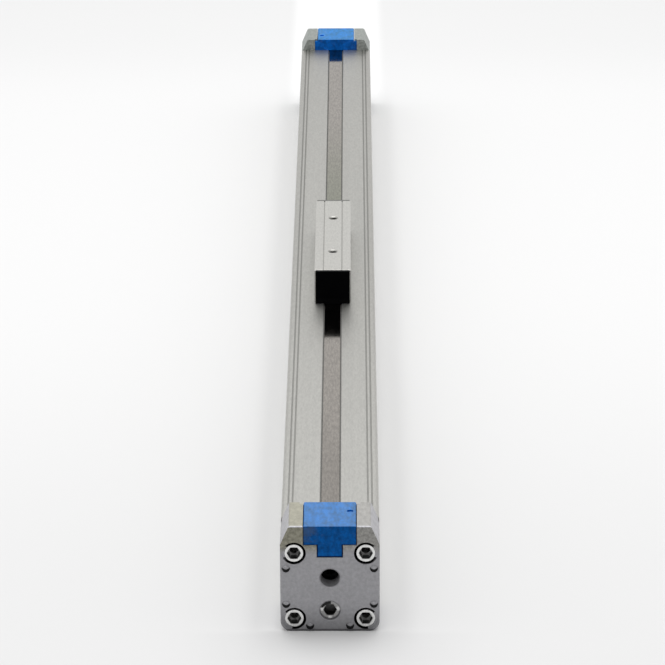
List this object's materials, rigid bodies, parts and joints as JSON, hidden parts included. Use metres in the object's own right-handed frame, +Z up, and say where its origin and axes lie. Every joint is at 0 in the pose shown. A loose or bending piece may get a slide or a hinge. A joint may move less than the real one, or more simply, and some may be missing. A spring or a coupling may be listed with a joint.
{
  "type": "rodless pneumatic linear drive",
  "caption": "Rodless pneumatic drive: a slotted aluminium barrel between end caps, a steel cover band along its top, and a driver block that the piston carries along it.",
  "frame": {"origin": "on the base plane, under the middle of the barrel's length and width", "axes": "+Y along the barrel towards the rear end cap, +Z up towards the driver, +X across to the right seen from the front end cap"},
  "size_m": [0.045, 0.8016, 0.0635],
  "materials": {
    "barrel_aluminium": "clear anodised extrusion, satin",
    "cap_aluminium": "die cast, blasted, matt",
    "driver_aluminium": "clear anodised, fine satin",
    "spigot_aluminium": "turned",
    "steel_band": "rolled stainless strip, bright",
    "clamp_steel": "pressed, zinc plated",
    "screw_steel": "bright zinc plated",
    "dark_screw_steel": "blackened",
    "brass": "turned",
    "magnet": "plastic-bonded ferrite, dull",
    "blue_plastic": "moulded, fine texture",
    "black_plastic": "moulded, satin",
    "white_plastic": "turned acetal",
    "ring_plastic": "filled bearing plastic",
    "sealing_plastic": "extruded band, satin",
    "black_rubber": "nitrile, dull",
    "grey_rubber": "wiping lip, dull",
    "seal_rubber": "polyurethane, satin"
  },
  "bodies": {
    "barrel": {"barrel_profile": "barrel_aluminium", "cover_band": "steel_band", "sealing_band": "sealing_plastic", "front_end_cap": "cap_aluminium", "rear_end_cap": "cap_aluminium", "front_cap_screws": "screw_steel", "rear_cap_screws": "screw_steel", "front_band_cover": "blue_plastic", "rear_band_cover": "blue_plastic", "front_band_clamp": "clamp_steel", "rear_band_clamp": "clamp_steel", "front_clamp_screws": "dark_screw_steel", "rear_clamp_screws": "dark_screw_steel", "front_bore_seal": "black_rubber", "rear_bore_seal": "black_rubber", "front_duct_seal": "black_rubber", "rear_duct_seal": "black_rubber", "front_cushion_spigot": "spigot_aluminium", "rear_cushion_spigot": "spigot_aluminium", "front_port_plugs": "screw_steel", "rear_port_plugs": "screw_steel"},
    "carriage": {"piston_yoke": "driver_aluminium", "head_pins": "screw_steel", "front_strip_guide": "black_plastic", "front_wiper": "grey_rubber", "front_piston_head": "white_plastic", "front_guide_ring": "ring_plastic", "front_piston_magnet": "magnet", "front_piston_seal": "seal_rubber", "front_cushion_seal": "seal_rubber", "rear_strip_guide": "black_plastic", "rear_wiper": "grey_rubber", "rear_piston_head": "white_plastic", "rear_guide_ring": "ring_plastic", "rear_piston_magnet": "magnet", "rear_piston_seal": "seal_rubber", "rear_cushion_seal": "seal_rubber"},
    "front_needle_advance": {"front_needle_seal": "black_rubber"},
    "front_needle": {"front_cushion_needle": "brass"},
    "rear_needle_advance": {"rear_needle_seal": "black_rubber"},
    "rear_needle": {"rear_cushion_needle": "brass"}
  },
  "joints": [
    {"name": "carriage_slide", "type": "slide", "parent": "barrel", "child": "carriage", "axis": [0, 1, 0], "range_m": [-0.259, 0.341], "deforming": ["cover_band", "sealing_band"]},
    {"name": "front_needle_advance", "type": "slide", "parent": "barrel", "child": "front_needle_advance", "axis": [1, 0, 0], "range_m": [-0.0005, 0.001]},
    {"name": "front_needle_turn", "type": "hinge", "parent": "front_needle_advance", "child": "front_needle", "pos_m": [0.018, -0.3845, 0.0178], "axis": [1, 0, 0], "range_deg": [-361, 721]},
    {"name": "rear_needle_advance", "type": "slide", "parent": "barrel", "child": "rear_needle_advance", "axis": [-1, 0, 0], "range_m": [-0.0005, 0.001]},
    {"name": "rear_needle_turn", "type": "hinge", "parent": "rear_needle_advance", "child": "rear_needle", "pos_m": [-0.018, 0.3845, 0.0178], "axis": [-1, 0, 0], "range_deg": [-361, 721]}
  ],
  "couplings": [
    {"joint": "front_needle_turn", "follows": "front_needle_advance", "rad_per_m": 12566},
    {"joint": "rear_needle_turn", "follows": "rear_needle_advance", "rad_per_m": 12566}
  ]
}
